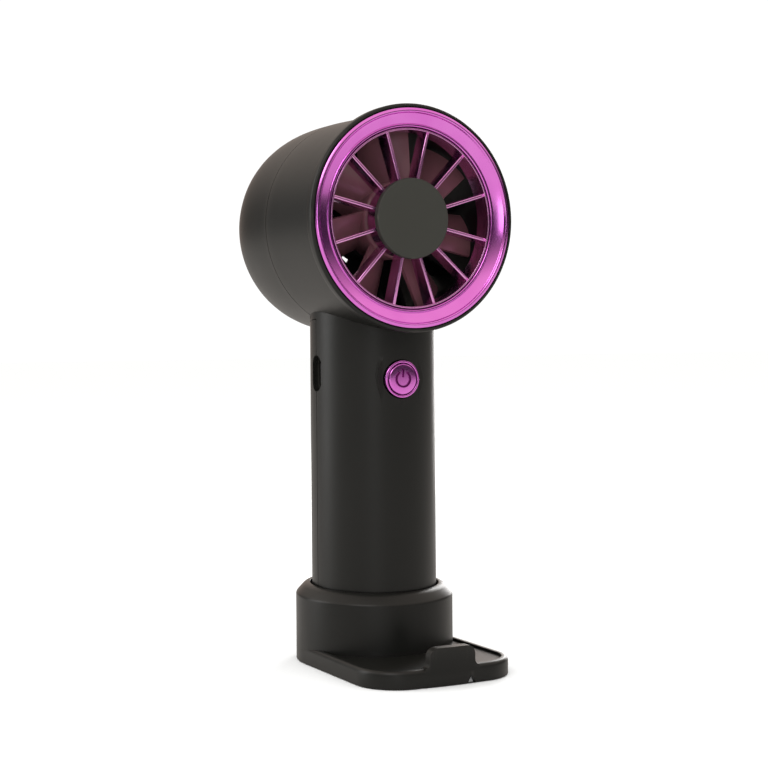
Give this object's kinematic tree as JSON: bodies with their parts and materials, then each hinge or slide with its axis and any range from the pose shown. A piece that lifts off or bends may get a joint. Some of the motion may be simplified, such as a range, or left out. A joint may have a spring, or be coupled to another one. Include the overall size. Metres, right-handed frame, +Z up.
{
  "type": "handheld fan",
  "caption": "Handheld electric fan with a round battery handle and a short turbine barrel, standing in a cup-and-tray desk stand with a phone stop.",
  "frame": {"origin": "on the floor, on the axis of the upright handle", "axes": "+Z up; the barrel lies along Y and blows towards -Y, so -Y is the front; +X is to the right seen from the front"},
  "size_m": [0.0734, 0.0997, 0.1832],
  "materials": {
    "black_shell": "satin moulded",
    "plated_magenta": "tinted mirror plating",
    "grey_cap": "matt",
    "smoked_blade": "polished",
    "dark_duct": "moulded",
    "steel": "turned",
    "magnet": "sintered",
    "laminations": "stacked laminations",
    "white_plunger": "moulded",
    "switch_body": "moulded",
    "board": "solder resist",
    "cell_wrap": "shrink wrap",
    "cradle": "moulded",
    "nickel": "nickel strip",
    "red_lead": "insulation",
    "black_lead": "insulation",
    "grey_silicone": "matt"
  },
  "bodies": {
    "stand": {"stand_body": "black_shell", "base_pad": "grey_silicone", "ballast_plate": "steel"},
    "fan_body": {"front_shell": "black_shell", "rear_shell": "black_shell", "shell_screw_1": "steel", "shell_screw_2": "steel", "shell_screw_3": "steel", "shell_screw_4": "steel", "handle_end_cap": "black_shell", "bezel_ring": "plated_magenta", "front_guard": "plated_magenta", "hub_cap": "grey_cap", "motor_duct": "dark_duct", "rear_grille": "black_shell", "motor_stator": "laminations", "front_bearing": "steel", "rear_bearing": "steel", "button_bezel": "plated_magenta", "tact_switch": "switch_body", "circuit_board": "board", "charge_board": "board", "usb_socket": "steel", "battery_cell": "cell_wrap", "battery_cradle": "cradle", "positive_tab": "nickel", "negative_tab": "nickel", "battery_lead_positive": "red_lead", "battery_lead_negative": "black_lead", "motor_lead": "black_lead"},
    "rotor": {"impeller": "smoked_blade", "rotor_bell": "steel", "magnet_ring": "magnet", "motor_shaft": "steel"},
    "button": {"power_button": "plated_magenta", "switch_plunger": "white_plunger"}
  },
  "joints": [
    {"name": "lift_off", "type": "slide", "parent": "stand", "child": "fan_body", "axis": [0, 0, 1], "range_m": [0, 0.03]},
    {"name": "rotor_spin", "type": "hinge", "parent": "fan_body", "child": "rotor", "pos_m": [0, 0, 0.1465], "axis": [0, 1, 0], "continuous": true},
    {"name": "power_press", "type": "slide", "parent": "fan_body", "child": "button", "axis": [0, 1, 0], "range_m": [0, 0.0005], "stiffness_N_per_m": 2000, "springref_m": -0.0003}
  ]
}
